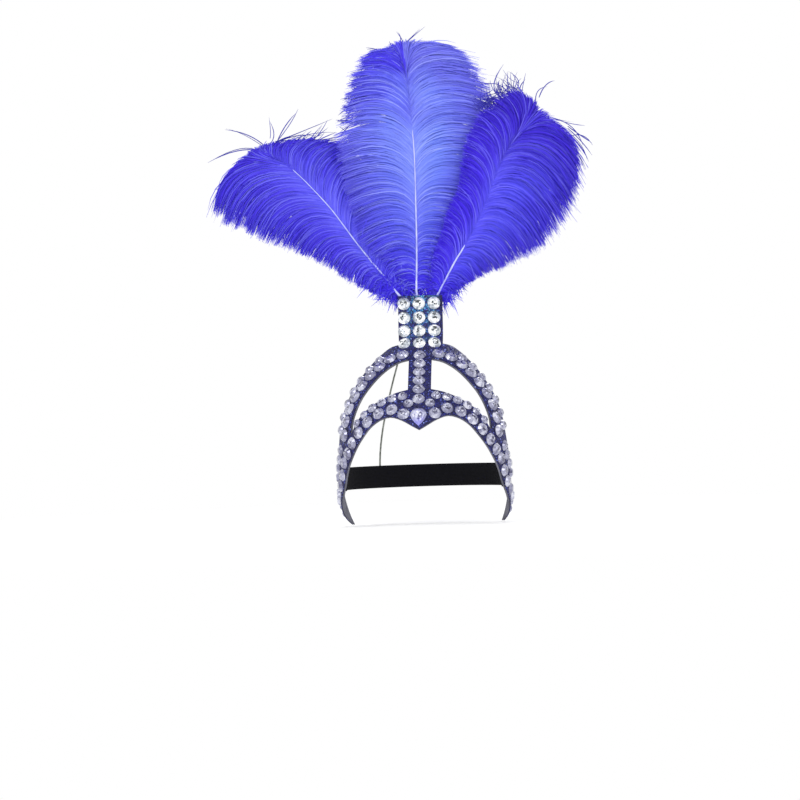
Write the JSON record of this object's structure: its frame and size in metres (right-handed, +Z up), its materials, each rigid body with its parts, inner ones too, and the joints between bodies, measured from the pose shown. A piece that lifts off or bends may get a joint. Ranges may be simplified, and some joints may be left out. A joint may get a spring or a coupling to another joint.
{
  "type": "feather headdress",
  "caption": "Stage headdress: a pointed crown frame of glitter fabric on foam, set with flat-backed stones, with upright ostrich plumes and an elastic strap.",
  "frame": {"origin": "middle of the head opening, level with the tip of the brow's point", "axes": "+Z up as worn, -Y to the wearer's front, +X to the wearer's left (the viewer's right)"},
  "size_m": [0.409, 0.1883, 0.538],
  "materials": {
    "foam": "matt craft foam",
    "glitter_fabric": "navy glitter",
    "rhinestone": "clear, foiled back",
    "feather": "dyed ostrich barbs",
    "elastic": "woven",
    "wire": "grey"
  },
  "bodies": {
    "root": {"foam_backing": "foam", "glitter_facing": "glitter_fabric", "plate_stone_01": "rhinestone", "plate_stone_02": "rhinestone", "plate_stone_03": "rhinestone", "plate_stone_04": "rhinestone", "plate_stone_05": "rhinestone", "plate_stone_06": "rhinestone", "plate_stone_07": "rhinestone", "plate_stone_08": "rhinestone", "plate_stone_09": "rhinestone", "plate_stone_10": "rhinestone", "plate_stone_11": "rhinestone", "plate_stone_12": "rhinestone", "post_stone_1": "rhinestone", "post_stone_2": "rhinestone", "post_stone_3": "rhinestone", "post_stone_4": "rhinestone", "post_stone_5": "rhinestone", "post_stone_6": "rhinestone", "shoulder_stone_left": "rhinestone", "shoulder_stone_right": "rhinestone", "brow_pear_stone": "rhinestone", "plume_left": "feather", "plume_centre": "feather", "plume_right": "feather", "elastic_strap": "elastic", "wire_stay": "wire"}
  },
  "joints": []
}
